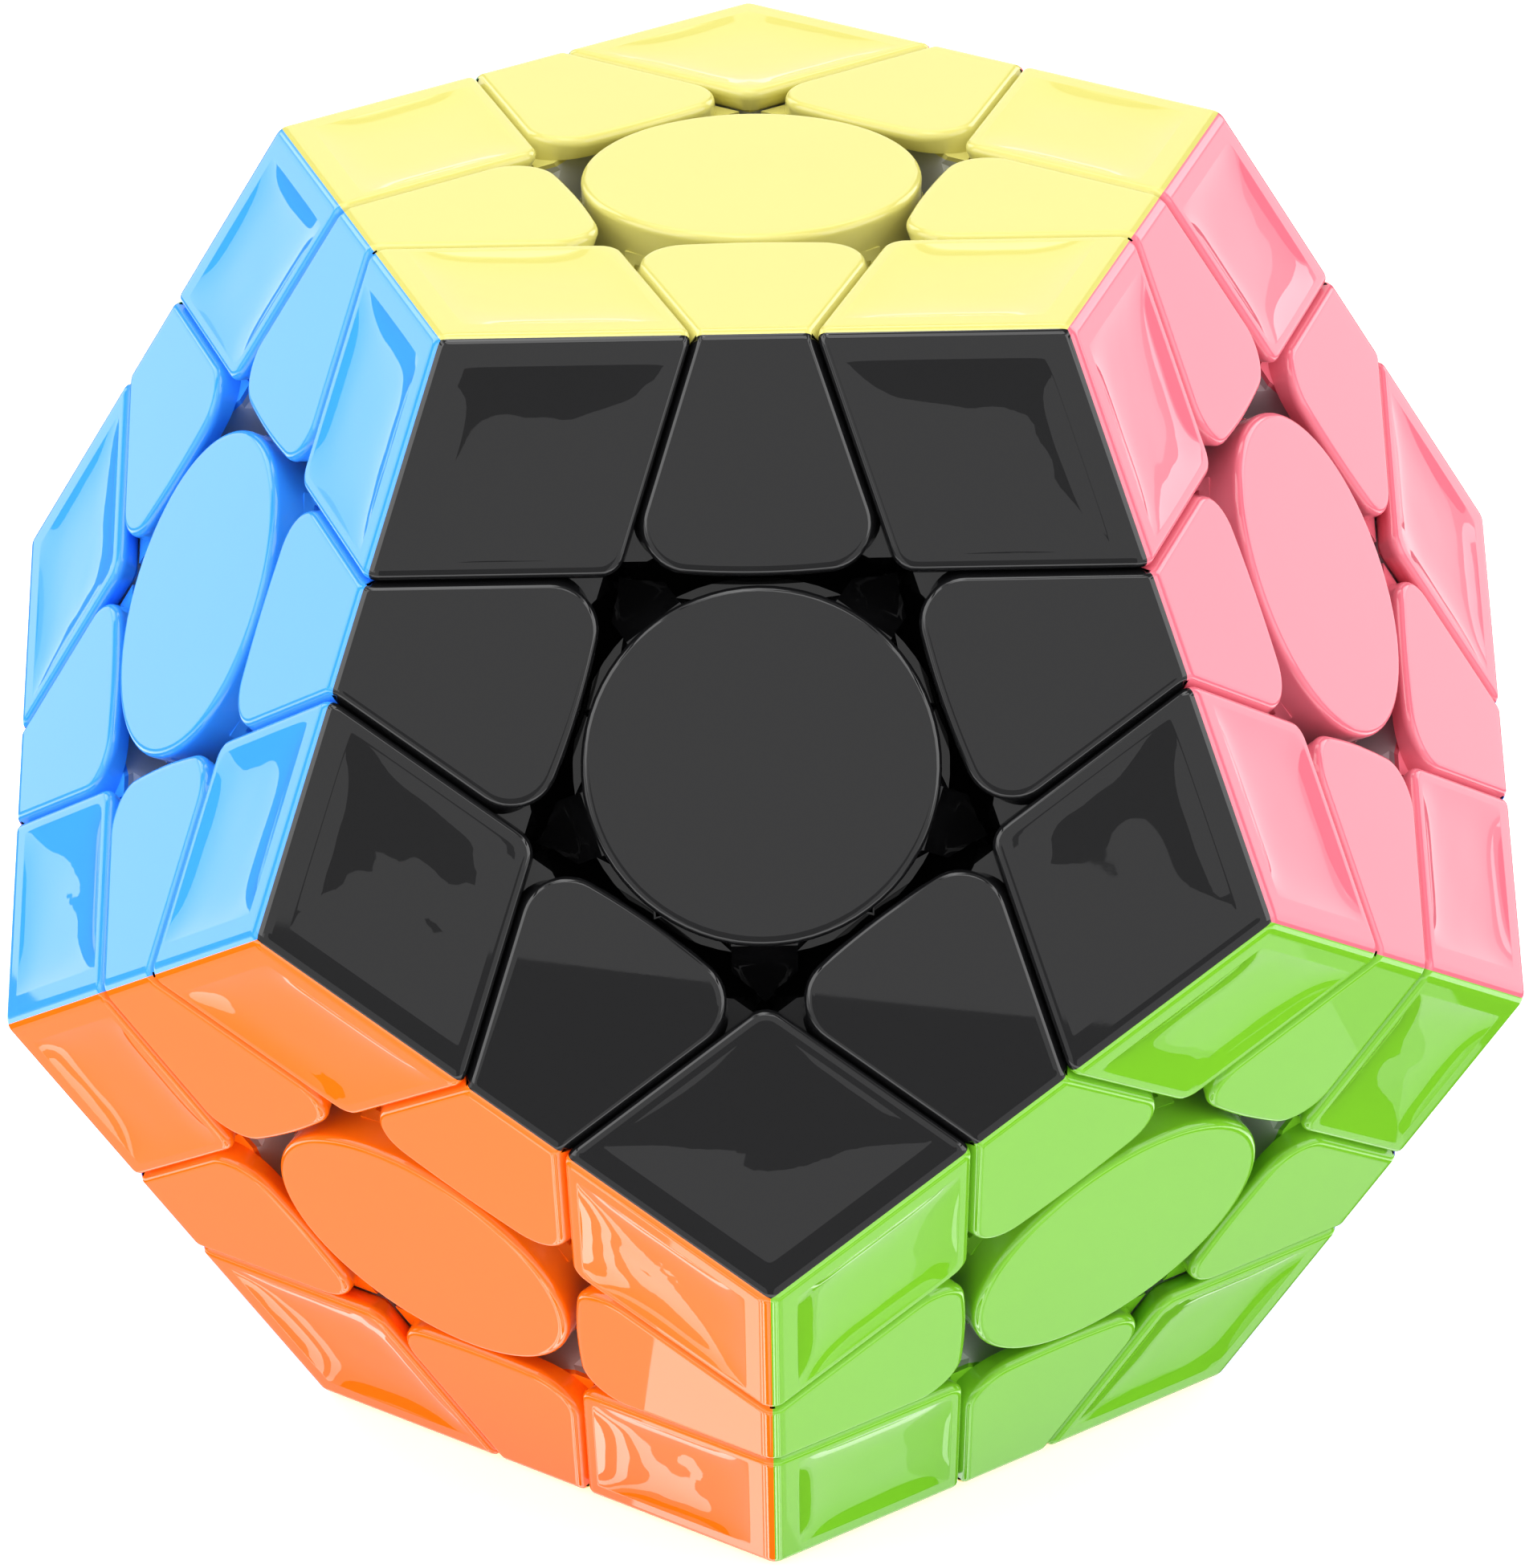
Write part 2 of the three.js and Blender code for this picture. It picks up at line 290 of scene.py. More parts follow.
def rim_rows(samples, axis):
    """The rounded rim and the wall below an outline. A sample is a point, the surface's normal
    there, the direction out of the tile and the direction down the wall."""
    rows = []
    for at, normal, out, down in samples:
        middle = at - RIM * normal
        angles = np.linspace(0, math.acos(out.dot(down)), RIM_STEPS + 1)
        row = [middle + RIM * (math.sin(k) * out + math.cos(k) * normal) for k in angles]
        fall = (row[-1].dot(axis) - (INRADIUS - SHELL)) / -down.dot(axis)
        row.append(row[-1] + fall * down)
        rows.append(row)
    return rows


def wall_down(normal, cut_axis):
    return -unit(normal - normal.dot(cut_axis) * cut_axis)


def out_of(normal, direction):
    return unit(direction - direction.dot(normal) * normal)


# Where the rounding along a dodecahedron's edge starts, from the face's middle.
ROUND_START = APOTHEM - EDGE_ROUND * math.tan(FACE_ANGLE / 2)
# Turns of the rounding, as tangents over the tangent at the edge itself.
TURNS = [
    math.tan(FACE_ANGLE / 2 * k / ROUND_STEPS) / math.tan(FACE_ANGLE / 2)
    for k in range(1, ROUND_STEPS + 1)
]


def rounded_normal(axis, u, v, turn_u, turn_v):
    """The normal in the rounding: turns of 0 to 1 towards the neighbours at u and v."""
    edge = math.tan(FACE_ANGLE / 2)
    vertex = math.sin(FACE_ANGLE) / (1 + 2 * math.cos(FACE_ANGLE))
    x = edge * turn_u * (1 - turn_v) + vertex * turn_u * turn_v
    y = edge * turn_v * (1 - turn_u) + vertex * turn_u * turn_v
    return unit(axis + x * u + y * v)


# ---------------------------------------------------------------- corner tiles

def corner_levels():
    """Distances from a cut line at which the grid of a corner tile has lines."""
    start = CORNER_INSET + RIM
    dish_start = CORNER_INSET + DISH_FRAME
    dish_end = TILE_HEIGHT - DISH_BORDER
    end = ROUND_START - CUT_LINE
    return [
        start,
        start + SUPPORT,
        start + FRAME_LINE,
        dish_start - CREASE,
        dish_start,
        dish_start + CREASE,
        *np.linspace(dish_start + 3 * CREASE, dish_end - 3 * CREASE, DISH_LINES),
        dish_end - CREASE,
        dish_end,
        dish_end + CREASE,
        end - SUPPORT,
        end,
    ]


def dish_profile(x):
    """How deep the dish is at a distance from a cut line: 0 on the frame, 1 in the middle."""
    start = CORNER_INSET + DISH_FRAME
    end = TILE_HEIGHT - DISH_BORDER
    s = min(max((x - start) / (end - start), 0), 1)
    return 1 - (2 * s - 1) ** 4


def dish_waves(a, d):
    """Slow unevenness of a dish, between -1 and 1."""
    first = math.sin(1.35 * a + 0.7 * math.sin(0.9 * d))
    second = math.sin(1.1 * d - 0.8 * a + 1.3)
    third = math.sin(3.1 * d + 1.7 * a + 0.8 * math.sin(1.1 * a))
    return 0.4 * first + 0.4 * second + 0.2 * third


def soften_tip(a, b, u, v):
    """Moves a grid point near the inner tip so that every level turns the tip on an arc. Gives
    the new distances and the level's outward direction (None away from the arc)."""
    level = min(a, b)
    start = CORNER_INSET + RIM
    radius = (TIP_ROUND - RIM * 0.5) * max(0, 1 - (level - start) / TIP_FADE)
    half = PIE / 2
    tangent = radius * math.tan(half)
    along = abs(a - b) / math.sin(PIE)
    if radius == 0 or along >= tangent:
        return a, b, None
    angle = half * along / tangent * (1 if a > b else -1)
    direction = -math.cos(angle) * unit(u + v) + math.sin(angle) * unit(u - v)
    centre = level + radius
    return (
        centre + radius * direction.dot(u),
        centre + radius * direction.dot(v),
        direction,
    )


def in_plane(axis, u, v, a, b):
    """The point of a face's plane at distances a and b beyond the cuts towards u and v."""
    along = u.dot(v)
    p, q = CUT_LINE + a, CUT_LINE + b
    x = (p - along * q) / (1 - along * along)
    y = (q - along * p) / (1 - along * along)
    return INRADIUS * axis + x * u + y * v


def corner_tile(build, axis, b, c, paint):
    u, v = toward(axis, b), toward(axis, c)
    levels = corner_levels()
    lines = [(a, 0) for a in levels] + [(levels[-1], turn) for turn in TURNS]
    vertex = (axis + b + c) * INRADIUS / axis.dot(axis + b + c)
    inset_vertex = vertex * (INRADIUS - EDGE_ROUND) / INRADIUS

    def on_edge(a, normal, cut_axis, across):
        """On the edge with across, at distance a beyond the cut of cut_axis."""
        along = unit(np.cross(axis, across))
        along = along if along.dot(cut_axis) < 0 else -along
        share = (levels[-1] - a) / (levels[-1] - levels[0])
        lean = -share * (EDGE_ROUND - RIM) * (normal.dot(cut_axis) - math.cos(FACE_ANGLE))
        step = (levels[-1] - a) / math.sin(PIE) + lean / along.dot(cut_axis)
        return inset_vertex + step * along + EDGE_ROUND * normal

    def point(i, j):
        (a, turn_u), (d, turn_v) = lines[i], lines[j]
        normal = rounded_normal(axis, u, v, turn_u, turn_v)
        if turn_u and turn_v:
            return inset_vertex + EDGE_ROUND * normal, normal, None
        if turn_v:
            return on_edge(a, normal, b, c), normal, None
        if turn_u:
            return on_edge(d, normal, c, b), normal, None
        near_a, near_d, direction = soften_tip(a, d, u, v)
        shape = dish_profile(a) * dish_profile(d)
        dish = shape * (DISH_DEPTH + DISH_WAVE * dish_waves(a, d))
        return in_plane(axis, u, v, near_a, near_d) - dish * axis, normal, direction

    size = len(lines)
    build.sheet([[point(i, j)[0] for j in range(size)] for i in range(size)], paint)

    samples = []
    border = [(0, j, b) for j in reversed(range(size))] + [(i, 0, c) for i in range(1, size)]
    for i, j, cut_axis in border:
        at, normal, direction = point(i, j)
        out = direction if direction is not None else out_of(normal, -cut_axis)
        down = wall_down(normal, cut_axis)
        if direction is not None:
            down = unit(-axis - WALL_SLOPE * out)
        samples.append((at, normal, out, down))
    rows = rim_rows(samples, axis)
    build.sheet(rows, paint)
    inner_vertex = vertex * (INRADIUS - SHELL) / INRADIUS
    build.polygon([row[-1] for row in rows] + [inner_vertex], paint)


def corner_shell(name, faces):
    build = Builder()
    for k in range(3):
        a, b, c = (AXIS[faces[(k + step) % 3]] for step in range(3))
        corner_tile(build, a, b, c, k)
    return build.finish(name)


# ---------------------------------------------------------------- edge tiles

def petal_half_outline():
    """Half of an edge tile's flat top, in the face's plane with x towards the shared edge: pairs
    of point and outward direction, and the wall's slope, from the rounding to the middle."""
    side = np.array([math.cos(PIE), math.sin(PIE)])
    side_at = CUT_LINE - PETAL_INSET - RIM * math.tan(math.atan(1 / WALL_SLOPE) / 2)
    radius = PETAL_ROUND - RIM
    bow_x = PETAL_END + RIM + PETAL_BOW
    # The corner's arc touches the side line and the bowed end.
    reach = PETAL_BOW - radius
    slope = -math.cos(PIE) / math.sin(PIE)
    offset = (side_at - radius) / math.sin(PIE)
    qa = 1 + slope * slope
    qb = slope * offset - bow_x
    qc = bow_x * bow_x + offset * offset - reach * reach
    x = (-qb - math.sqrt(qb * qb - qa * qc)) / qa
    centre = np.array([x, slope * x + offset])
    bow = np.array([bow_x, 0.0])
    end_angle = math.atan2(*(centre - bow)[::-1])

    def on_side(at_x):
        return np.array([at_x, (side_at - side[0] * at_x) / side[1]])

    outline = [
        (on_side(ROUND_START), side, WALL_SLOPE),
        (on_side(ROUND_START - SUPPORT), side, WALL_SLOPE),
    ]
    for k in range(PETAL_ARC_STEPS + 1):
        share = k / PETAL_ARC_STEPS
        angle = PIE + (end_angle - PIE) * share
        out = np.array([math.cos(angle), math.sin(angle)])
        smooth = share * share * (3 - 2 * share)
        outline.append((centre + radius * out, out, WALL_SLOPE * (1 - 2 * smooth)))
    for k in range(1, PETAL_BOW_STEPS + 1):
        angle = end_angle + (math.pi - end_angle) * k / PETAL_BOW_STEPS
        out = np.array([math.cos(angle), math.sin(angle)])
        outline.append((bow + PETAL_BOW * out, out, -WALL_SLOPE))
    return outline


def edge_tile(build, axis, across, paint):
    x_axis = toward(axis, across)
    y_axis = np.cross(axis, x_axis)
    to_side = np.array([math.cos(PIE), math.sin(PIE)])
    half = petal_half_outline()

    def space(flat, height=INRADIUS):
        return height * axis + flat[0] * x_axis + flat[1] * y_axis

    def rounded_sample(turn, sign):
        """A sample in the rounding along the shared edge, on the side towards sign."""
        side = to_side[0] * x_axis + sign * to_side[1] * y_axis
        cut_axis = math.cos(FACE_ANGLE) * axis + math.sin(FACE_ANGLE) * side
        normal = rounded_normal(axis, x_axis, y_axis, turn, 0)
        flat_at = space(half[0][0] * [1, sign])
        lean = (RIM - EDGE_ROUND) * (normal.dot(cut_axis) - math.cos(FACE_ANGLE))
        inset = flat_at - EDGE_ROUND * axis
        at = inset + lean / y_axis.dot(cut_axis) * y_axis + EDGE_ROUND * normal
        return at, normal, out_of(normal, cut_axis), wall_down(normal, cut_axis)

    def flat_sample(entry, sign):
        flat, out, slope = entry
        out = out[0] * x_axis + sign * out[1] * y_axis
        return space(flat * [1, sign]), axis, out, unit(-axis + slope * out)

    left = [rounded_sample(turn, 1) for turn in reversed(TURNS)]
    right = [rounded_sample(turn, -1) for turn in TURNS]
    samples = left + [flat_sample(entry, 1) for entry in half]
    samples += [flat_sample(entry, -1) for entry in reversed(half[:-1])] + right
    rows = rim_rows(samples, axis)
    build.sheet(rows, paint)
    build.polygon([row[-1] for row in rows], paint)

    # A narrow ring inside the rim, long quads over the rounding, and one flat polygon.
    strips = ROUND_STEPS + 1
    last = len(samples) - 1
    ring = []
    for k, (at, _, out, _) in enumerate(samples):
        if k < strips:
            inward = -y_axis
        elif k > last - strips:
            inward = y_axis
        else:
            inward = -out
        ring.append(at + SUPPORT * inward)
    build.sheet([[sample[0], inner] for sample, inner in zip(samples, ring)], paint)
    build.sheet([[ring[k], ring[last - k]] for k in range(strips + 1)], paint)
    build.polygon(ring[strips:last - strips + 1], paint)


def edge_shell(name, faces):
    build = Builder()
    a, b = (AXIS[face] for face in faces)
    edge_tile(build, a, b, 0)
    edge_tile(build, b, a, 1)
    return build.finish(name)


# ---------------------------------------------------------------- centres

def clear_of_layers(x, y, depth, axis, around):
    """True where a point of a centre stays outside the neighbours' layers. x runs between two
    neighbours, towards a corner's tip."""
    middle = unit(around[0] + around[1] - 2 * math.cos(FACE_ANGLE) * axis)
    side = np.cross(axis, middle)
    point = (INRADIUS - depth) * axis + x * middle + y * side
    distance = np.linalg.norm(point)
    for other in around:
        height = other.dot(point)
        angle = math.acos(height / distance)
        if distance > INRADIUS and height > CUT - MECHANISM_GAP:
            return False
        neck = NECK_ANGLE if distance > FOOT_TOP else FOOT_ANGLE
        if distance <= INRADIUS and math.sin(angle - neck) * distance < MECHANISM_GAP:
            return False
    return True


def arm_reach(y, depth, axis, around, wanted):
    """How far an arm goes at offset y: the reach wanted, or up to the neighbours' layers."""
    low, high = ARM_LEAST_REACH, wanted
    if clear_of_layers(high, y, depth, axis, around):
        return high
    for _ in range(ARM_HALVINGS):
        middle = (low + high) / 2
        if clear_of_layers(middle, y, depth, axis, around):
            low = middle
        else:
            high = middle
    return low


def skirt_rows():
    """Rows of (depth, wall radius, reach of an arm at each offset) down a centre's outside."""
    rows = []
    for k in range(CAP_RIM_STEPS + 1):
        angle = math.pi / 2 * k / CAP_RIM_STEPS
        radius = CAP_RADIUS - CAP_RIM + CAP_RIM * math.sin(angle)
        rows.append((CAP_RIM * (1 - math.cos(angle)), radius, None))
    rows.append((CAP_RIM + SUPPORT, CAP_RADIUS, None))
    rows.append((CAP_WALL, CAP_RADIUS, None))
    for k in range(ARM_STEPS + 1):
        fall = math.sin(math.pi / 2 * k / ARM_STEPS)
        out = ARM_LENGTH * (1 - math.sqrt(max(0, 1 - fall * fall)))
        depth = CAP_WALL + ARM_DROP * fall
        rows.append((depth, wall_radius(depth), CAP_RADIUS + out))
    for depth in SKIRT_LEVELS:
        rows.append((depth, wall_radius(depth), CAP_RADIUS + ARM_LENGTH))
    return rows


def wall_radius(depth):
    """The wall between the arms draws in below the cap, to stay clear of the edges' necks."""
    clearance = (INRADIUS - depth) * math.tan(FACE_ANGLE - NECK_ANGLE) - WALL_GAP
    return min(CAP_RADIUS, clearance)


def arm_offsets():
    inner = SLOT_HALF_WIDTH
    half = [inner / 2, inner, inner, (inner + ARM_HALF_WIDTH) / 2, ARM_HALF_WIDTH]
    return [-y for y in reversed(half)] + [0.0] + half


def ring_of(depth, wall, reach, axis, neighbours):
    """One closed row of a centre's outside, all sectors in turn."""
    points = []
    offsets = arm_offsets()
    for k in range(5):
        around = (AXIS[neighbours[k]], AXIS[neighbours[(k + 1) % 5]])
        middle = unit(around[0] + around[1] - 2 * math.cos(FACE_ANGLE) * axis)
        side = np.cross(axis, middle)
        base = (INRADIUS - depth) * axis
        edge_angle = math.asin(ARM_HALF_WIDTH / wall)

        def on_wall(y):
            return base + math.sqrt(wall * wall - y * y) * middle + y * side

        points.append(on_wall(offsets[0]))
        for index, y in enumerate(offsets):
            if reach is None:
                points.append(on_wall(y))
                continue
            across_slot = 3 <= index <= len(offsets) - 4
            down_slot = SLOT_LEVELS[0] < depth < SLOT_LEVELS[1]
            sunk = SLOT_DEPTH if across_slot and down_slot else 0
            x = arm_reach(y, depth, axis, around, reach) - sunk
            x = max(x, math.sqrt(wall * wall - y * y))
            points.append(base + x * middle + y * side)
        points.append(on_wall(offsets[-1]))
        span = PIE - 2 * edge_angle
        for step in range(1, WEB_STEPS):
            angle = edge_angle + span * step / WEB_STEPS
            points.append(base + wall * (math.cos(angle) * middle + math.sin(angle) * side))
    points.append(points[0])
    return points


def ordered_neighbours(face):
    """A face's neighbours, going round its axis."""
    axis = AXIS[face]
    first = neighbours_of(face)[0]
    turned = frame_of(axis, AXIS[first])

    def angle(name):
        x, y, _ = turned.T @ toward(axis, AXIS[name])
        return round(math.atan2(y, x), 6) % (2 * math.pi)

    return sorted(neighbours_of(face), key=angle)


def scaled_ring(points, axis, depth, radius):
    """A circle with the same columns as a centre's outside."""
    ring = []
    for point in points:
        flat = unit(point - point.dot(axis) * axis)
        ring.append((INRADIUS - depth) * axis + radius * flat)
    return ring


def centre_shell(name, face):
    axis = AXIS[face]
    neighbours = ordered_neighbours(face)
    rows = [ring_of(*row, axis, neighbours) for row in skirt_rows()]
    top = scaled_ring(rows[0], axis, 0, CAP_RADIUS - CAP_RIM - SUPPORT)
    inside = [
        (SKIRT_END, HUB_RADIUS),
        (HUB_END, HUB_RADIUS),
        (HUB_END, BORE_RADIUS),
        (SHELF, BORE_RADIUS),
        (SHELF, CHAMBER_RADIUS),
        (CHAMBER_TOP, CHAMBER_RADIUS),
    ]
    rows = [top] + rows + [scaled_ring(rows[0], axis, *ring) for ring in inside]
    build = Builder()
    build.sheet(rows)
    build.polygon(rows[0][:-1])
    build.polygon(rows[-1][:-1])
    return build.finish(name)


# ---------------------------------------------------------------- turned pieces and feet

def lathe(name, profile, sides, turn=None):
    """A closed turned mesh about +Z from (radius, height) pairs, both ends on the axis."""
    build = Builder()
    rows = []
    for radius, height in profile:
        angles = np.linspace(0, 2 * math.pi, sides + 1)
        row = [np.array([radius * math.cos(k), radius * math.sin(k), height]) for k in angles]
        row[-1] = row[0]
        rows.append(row if turn is None else [turn @ point for point in row])
    build.sheet(rows)
    return build.finish(name)


def upright_of(face):
    """The turn that takes +Z onto a face's axis."""
    return frame_of(AXIS[face], AXIS[neighbours_of(face)[0]])


def layer_mesh(face, inset, sides):
    """The space of a layer, moved in by inset: flat cut, neck cone, then foot cone."""
    cut = CUT + inset

    def on_cone(angle, distance):
        return (
            distance * math.sin(angle) - inset * math.cos(angle),
            distance * math.cos(angle) + inset * math.sin(angle),
        )

    step = FOOT_TOP - inset
    profile = [
        (0, inset / math.sin(FOOT_ANGLE)),
        on_cone(FOOT_ANGLE, step),
        on_cone(NECK_ANGLE, step),
        (cut * math.tan(NECK_ANGLE) - inset / math.cos(NECK_ANGLE), cut),
        (REACH, cut),
        (REACH, REACH),
        (0, REACH),
    ]
    return lathe("layer", profile, sides, upright_of(face))


def track_mesh(face, radius, sides):
    """The space about a face's axis in which its centre's arms turn."""
    deep = INRADIUS - TRACK_DEPTH
    above = INRADIUS + 1
    profile = [
        (0, deep - TRACK_SLOPE),
        (radius - TRACK_SLOPE, deep - TRACK_SLOPE),
        (radius, deep),
        (radius, above),
        (0, above),
    ]
    return lathe("track", profile, sides, upright_of(face))


def cut_mesh(data, tool, operation):
    """The exact boolean of two meshes. The tool is used up."""
    body = bpy.data.objects.new("cut_body", data)
    cutter = bpy.data.objects.new("cut_tool", tool)
    for item in (body, cutter):
        bpy.context.scene.collection.objects.link(item)
    modifier = body.modifiers.new("cut", "BOOLEAN")
    modifier.operation = operation
    modifier.solver = "EXACT"
    modifier.object = cutter
    evaluated = body.evaluated_get(bpy.context.evaluated_depsgraph_get())
    result = bpy.data.meshes.new_from_object(evaluated)
    bpy.data.objects.remove(body)
    bpy.data.objects.remove(cutter)
    bpy.data.meshes.remove(tool)
    return result


def ball_mesh(name, radius):
    profile = [
        (radius * math.sin(k), -radius * math.cos(k))
        for k in np.linspace(0, math.pi, BALL_RINGS + 1)
    ]
    return lathe(name, profile, BALL_SIDES)


def block_mesh():
    """The dodecahedron below the tiles' shells."""
    mesh = bmesh.new()
    for faces in CORNERS:
        total = sum(AXIS[face] for face in faces)
        mesh.verts.new(total * (INRADIUS - SHELL) / AXIS[faces[0]].dot(total))
    bmesh.ops.convex_hull(mesh, input=mesh.verts)
    bmesh.ops.dissolve_limit(mesh, angle_limit=COPLANAR, verts=mesh.verts, edges=mesh.edges)
    data = bpy.data.meshes.new("block")
    mesh.to_mesh(data)
    mesh.free()
    return data


def foot_mesh(name, faces):
    """An edge's or corner's inner foot: inside its own layers, outside the others, and clear of
    the tracks of the centres' arms."""
    data = cut_mesh(block_mesh(), ball_mesh("ball", FOOT_BOTTOM), "DIFFERENCE")
    for face, sides in zip(faces, OWN_LAYER_SIDES):
        data = cut_mesh(data, layer_mesh(face, FOOT_INSET, sides), "INTERSECT")
    if len(faces) == 2:
        for end, sides in zip(neighbours_of(*faces), END_LAYER_SIDES):
            data = cut_mesh(data, layer_mesh(end, -FOOT_INSET, sides), "DIFFERENCE")
    track = EDGE_TRACK if len(faces) == 2 else CORNER_TRACK
    for face, sides in zip(faces, TRACK_SIDES):
        data = cut_mesh(data, track_mesh(face, track, sides), "DIFFERENCE")
    data.name = name
    paint_foot(data, faces)
    shade(data, FOOT_SHARP)
    return data


def paint_foot(data, faces):
    """Marks a foot's parts: the walls that reach down from each tile, then its upper part under
    each tile (painted black under black tiles, as painted shade in the black face's holes), then
    the rest."""
    mesh = bmesh.new()
    mesh.from_mesh(data)
    levels = [INRADIUS - WALL_DEPTH, INRADIUS - BLACK_SHADE_DEPTH]
    cuts = [(level * AXIS[face], AXIS[face]) for level in levels for face in faces]
    cuts += [((0, 0, 0), AXIS[a] - AXIS[b]) for a, b in combinations(faces, 2)]
    for at, normal in cuts:
        everything = mesh.verts[:] + mesh.edges[:] + mesh.faces[:]
        bmesh.ops.bisect_plane(mesh, geom=everything, plane_co=at, plane_no=normal)
    for polygon in mesh.faces:
        heights = [AXIS[face].dot(polygon.calc_center_median()) for face in faces]
        highest = max(heights)
        below = sum(highest <= level for level in levels)
        nearest = heights.index(highest) if below < len(levels) else 0
        polygon.material_index = below * len(faces) + nearest
    mesh.to_mesh(data)
    mesh.free()


# ---------------------------------------------------------------- materials

# Noise scales of the plastics, to a metre: of the colour's clouds, of the roughness, of the fine
# texture and of the slow unevenness.
CLOUD_SCALE = 90
SMEAR_SCALE = 260
GRAIN_SCALE = 9000
WAVE_SCALE = 120
CLOUD_CHANGE = 0.025  # share by which the colour varies


def nodes_of(material):
    """A new material's node tree, its shader and the place on the piece, in metres."""
    material.use_nodes = True
    tree = material.node_tree
    shader = tree.nodes["Principled BSDF"]
    place = tree.nodes.new("ShaderNodeTexCoord")
    return tree, shader, place.outputs["Object"]


def math_node(tree, operation, a, b=0.0):
    node = tree.nodes.new("ShaderNodeMath")
    node.operation = operation
    for socket, value in zip(node.inputs, (a, b)):
        if isinstance(value, (int, float)):
            socket.default_value = value
        else:
            tree.links.new(value, socket)
    return node.outputs[0]


def noise(tree, place, scale, detail=2.0, roughness=0.5):
    node = tree.nodes.new("ShaderNodeTexNoise")
    node.inputs["Scale"].default_value = scale
    node.inputs["Detail"].default_value = detail
    node.inputs["Roughness"].default_value = roughness
    tree.links.new(place, node.inputs["Vector"])
    return node.outputs["Fac"]


def spread(tree, factor, low, high):
    """Maps the middle of a noise's range onto low to high."""
    node = tree.nodes.new("ShaderNodeMapRange")
    node.inputs["From Min"].default_value = 0.3
    node.inputs["From Max"].default_value = 0.7
    node.inputs["To Min"].default_value = low
    node.inputs["To Max"].default_value = high
    tree.links.new(factor, node.inputs["Value"])
    return node.outputs["Result"]


def tint(tree, factor, colour, change):
    """The colour, a little lighter or darker from place to place."""
    node = tree.nodes.new("ShaderNodeMix")
    node.data_type = "RGBA"
    # The Mix node's colours are its inputs 6 and 7 and its output 2.
    node.inputs[6].default_value = (*[channel * (1 - change) for channel in colour], 1)
    node.inputs[7].default_value = (*[min(1, channel * (1 + change)) for channel in colour], 1)
    tree.links.new(factor, node.inputs[0])
    return node.outputs[2]


def bump(tree, height, strength, distance):
    node = tree.nodes.new("ShaderNodeBump")
    node.inputs["Strength"].default_value = strength
    node.inputs["Distance"].default_value = distance
    tree.links.new(height, node.inputs["Height"])
    return node.outputs["Normal"]


def plastic(name, colour, rough, grain, wave):
    """Moulded plastic. rough is its lowest and highest roughness, grain the height of the fine
    texture and wave that of the slow unevenness of the moulding, in metres."""
    material = bpy.data.materials.new(name)
    tree, shader, place = nodes_of(material)
    cloud = noise(tree, place, CLOUD_SCALE, 3)
    tree.links.new(tint(tree, cloud, colour, CLOUD_CHANGE), shader.inputs["Base Color"])
    smear = noise(tree, place, SMEAR_SCALE, 4, 0.6)
    tree.links.new(spread(tree, smear, *rough), shader.inputs["Roughness"])
    fine = noise(tree, place, GRAIN_SCALE, 1)
    slow = noise(tree, place, WAVE_SCALE, 1)
    height = math_node(tree, "ADD", fine, math_node(tree, "MULTIPLY", slow, wave / grain))
    tree.links.new(bump(tree, height, 1.0, grain), shader.inputs["Normal"])
    shader.inputs["IOR"].default_value = 1.5
    return material


def metal(name, colour, scale):
    """Steel with fine, irregular scratches. scale is how many there are to a metre."""
    material = bpy.data.materials.new(name)
    tree, shader, place = nodes_of(material)
    scratches = noise(tree, place, scale, 4, 0.7)
    tree.links.new(tint(tree, scratches, colour, 0.12), shader.inputs["Base Color"])
    tree.links.new(spread(tree, scratches, 0.22, 0.4), shader.inputs["Roughness"])
    tree.links.new(bump(tree, scratches, 0.4, 0.00003), shader.inputs["Normal"])
    shader.inputs["Metallic"].default_value = 1.0
    return material


def floor_material():
    """Pale paper with a glow of its own, so that it stays as white as the room."""
    material = bpy.data.materials.new("floor")
    tree, shader, place = nodes_of(material)
    cloud = noise(tree, place, 3, 2)
    tree.links.new(tint(tree, cloud, (0.8, 0.8, 0.8), 0.005), shader.inputs["Base Color"])
    shader.inputs["Roughness"].default_value = 0.7
    shader.inputs["Specular IOR Level"].default_value = 0.2
    shader.inputs["Emission Color"].default_value = (1, 1, 1, 1)
    shader.inputs["Emission Strength"].default_value = FLOOR_GLOW
    return material


# Corner tiles are the shinier ones; edge tiles and caps have a flatter, calmer surface.
GLOSS = {
    name: plastic(name + "_gloss", face[2], (0.008, 0.025), 2e-8, 1.2e-6)
    for name, face in FACES.items()
}
SATIN = {
    name: plastic(name + "_satin", face[2], (0.004, 0.014), 1e-8, 3e-7)
    for name, face in FACES.items()
}
INNER = plastic("inner_plastic", (0.5, 0.51, 0.53), (0.12, 0.2), 4e-7, 1e-6)
STEEL = metal("steel", (0.56, 0.57, 0.58), 4000)


# ---------------------------------------------------------------- placing

def placed(name, pattern, turn, materials, body, nodes=()):
    """A copy of a pattern, turned about the puzzle's middle and put in the row frame."""
    data = pattern.copy()
    data.name = name
    matrix = Matrix(turn.tolist()).to_4x4()
    lift = Matrix.Translation((0, 0, INRADIUS * MM))
    data.transform(lift @ matrix @ Matrix.Scale(MM, 4))
    for material in materials:
        data.materials.append(material)
    piece = bpy.data.objects.new(name, data)
    bpy.context.scene.collection.objects.link(piece)
    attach(piece, body)
    if nodes:
        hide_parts(*nodes)
    return piece


